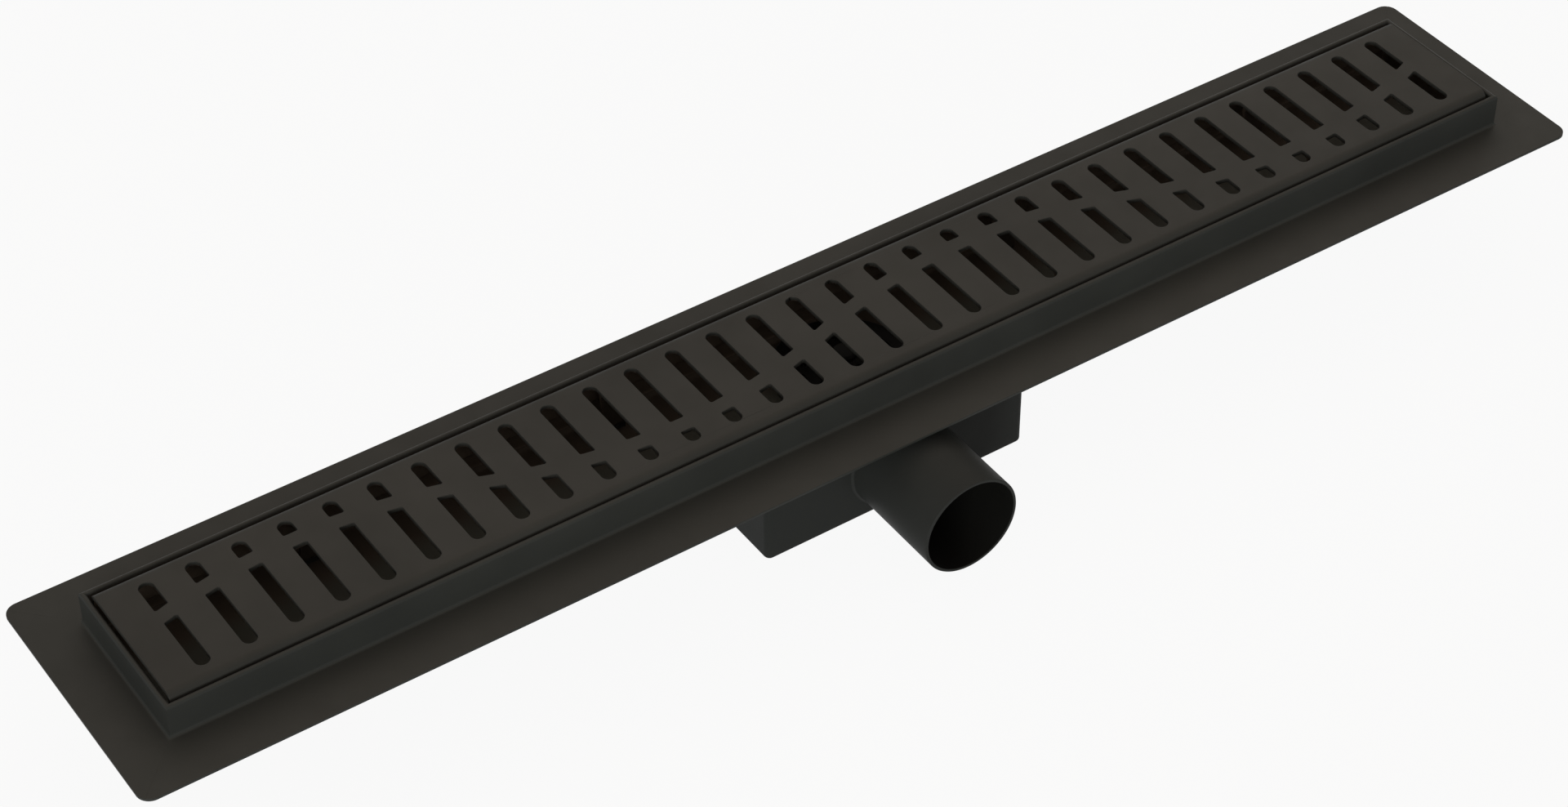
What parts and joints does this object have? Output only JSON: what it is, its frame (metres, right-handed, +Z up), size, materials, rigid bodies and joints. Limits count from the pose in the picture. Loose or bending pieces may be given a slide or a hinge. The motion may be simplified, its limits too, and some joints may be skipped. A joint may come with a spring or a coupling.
{
  "type": "floor drain",
  "caption": "Linear shower floor drain: slotted wave-pattern cover in a flanged channel, with a trap box and a side outlet pipe.",
  "frame": {"origin": "middle of the trap box's flat base, on which the drain stands", "axes": "+X along the channel, -Y the way the outlet pipe leaves, +Z up towards the grate"},
  "size_m": [0.712, 0.1522, 0.071],
  "materials": {
    "channel_body": "satin black coating",
    "channel_end_left": "satin black coating",
    "channel_end_right": "satin black coating",
    "grate": "satin black coating",
    "grate_support_1": "satin black coating",
    "grate_support_2": "satin black coating",
    "grate_support_3": "satin black coating",
    "grate_support_4": "satin black coating",
    "pad_1_front": "matte",
    "pad_1_back": "matte",
    "pad_2_front": "matte",
    "pad_2_back": "matte",
    "pad_3_front": "matte",
    "pad_3_back": "matte",
    "pad_4_front": "matte",
    "pad_4_back": "matte",
    "trap_box": "satin black coating",
    "outlet_pipe": "satin black coating",
    "trap_seal_ring": "matte",
    "trap_funnel": "moulded, fine texture",
    "trap_water_cup": "moulded, fine texture",
    "strainer_basket": "satin black coating",
    "strainer_knob": "satin black coating"
  },
  "bodies": {
    "root": {"channel_body": "channel_body", "channel_end_left": "channel_end_left", "channel_end_right": "channel_end_right", "grate": "grate", "grate_support_1": "grate_support_1", "grate_support_2": "grate_support_2", "grate_support_3": "grate_support_3", "grate_support_4": "grate_support_4", "pad_1_front": "pad_1_front", "pad_1_back": "pad_1_back", "pad_2_front": "pad_2_front", "pad_2_back": "pad_2_back", "pad_3_front": "pad_3_front", "pad_3_back": "pad_3_back", "pad_4_front": "pad_4_front", "pad_4_back": "pad_4_back", "trap_box": "trap_box", "outlet_pipe": "outlet_pipe", "trap_seal_ring": "trap_seal_ring", "trap_funnel": "trap_funnel", "trap_water_cup": "trap_water_cup", "strainer_basket": "strainer_basket", "strainer_knob": "strainer_knob"}
  },
  "joints": []
}
